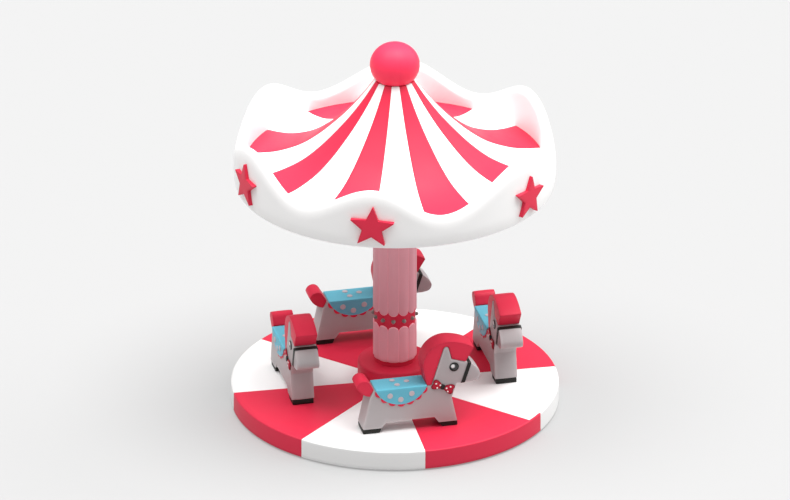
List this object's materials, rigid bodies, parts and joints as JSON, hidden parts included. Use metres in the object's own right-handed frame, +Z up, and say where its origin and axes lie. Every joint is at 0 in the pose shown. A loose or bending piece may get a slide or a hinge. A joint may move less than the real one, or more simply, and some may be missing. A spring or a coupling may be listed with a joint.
{
  "type": "soft play carousel",
  "caption": "Padded toddler carousel: round sectored deck on a hidden turntable, fluted column, slab horses and a wavy striped canopy with star pads and a ball on top.",
  "frame": {"origin": "middle of the deck at floor level", "axes": "+Z up along the column; the horses stand on the X and Y axes, the front horse on -Y heading +X"},
  "size_m": [2.4046, 2.3972, 2.8575],
  "materials": {
    "red_vinyl": "satin coated vinyl over foam",
    "white_vinyl": "satin coated vinyl over foam",
    "pink_vinyl": "satin coated vinyl over foam",
    "grey_vinyl": "satin coated vinyl over foam",
    "blue_vinyl": "satin coated vinyl",
    "black_vinyl": "satin coated vinyl over foam",
    "birch_board": "sealed plywood",
    "grey_steel": "powder coated"
  },
  "bodies": {
    "base": {"base_plate": "grey_steel", "slewing_ring": "grey_steel"},
    "carousel": {"turntable_board": "birch_board", "deck_pad_white_1": "white_vinyl", "deck_pad_white_2": "white_vinyl", "deck_pad_white_3": "white_vinyl", "deck_pad_white_4": "white_vinyl", "deck_pad_red_1": "red_vinyl", "deck_pad_red_2": "red_vinyl", "deck_pad_red_3": "red_vinyl", "deck_pad_red_4": "red_vinyl", "hub_pad": "red_vinyl", "column_collar": "red_vinyl", "lower_sleeve": "pink_vinyl", "column_band": "red_vinyl", "upper_sleeve": "pink_vinyl", "canopy_board": "white_vinyl", "canopy_rim": "white_vinyl", "canopy_tent": "white_vinyl", "canopy_ball": "red_vinyl", "star_1": "red_vinyl", "star_2": "red_vinyl", "star_3": "red_vinyl", "star_4": "red_vinyl", "star_5": "red_vinyl", "star_6": "red_vinyl", "horse_front_body": "grey_vinyl", "horse_front_mane": "red_vinyl", "horse_front_tail": "red_vinyl", "horse_front_blanket": "blue_vinyl", "horse_front_rear_hoof": "black_vinyl", "horse_front_front_hoof": "black_vinyl", "horse_right_body": "grey_vinyl", "horse_right_mane": "red_vinyl", "horse_right_tail": "red_vinyl", "horse_right_blanket": "blue_vinyl", "horse_right_rear_hoof": "black_vinyl", "horse_right_front_hoof": "black_vinyl", "horse_back_body": "grey_vinyl", "horse_back_mane": "red_vinyl", "horse_back_tail": "red_vinyl", "horse_back_blanket": "blue_vinyl", "horse_back_rear_hoof": "black_vinyl", "horse_back_front_hoof": "black_vinyl", "horse_left_body": "grey_vinyl", "horse_left_mane": "red_vinyl", "horse_left_tail": "red_vinyl", "horse_left_blanket": "blue_vinyl", "horse_left_rear_hoof": "black_vinyl", "horse_left_front_hoof": "black_vinyl"}
  },
  "joints": [
    {"name": "carousel_spin", "type": "hinge", "parent": "base", "child": "carousel", "pos_m": [0, 0, 0.055], "axis": [0, 0, 1], "continuous": true}
  ]
}
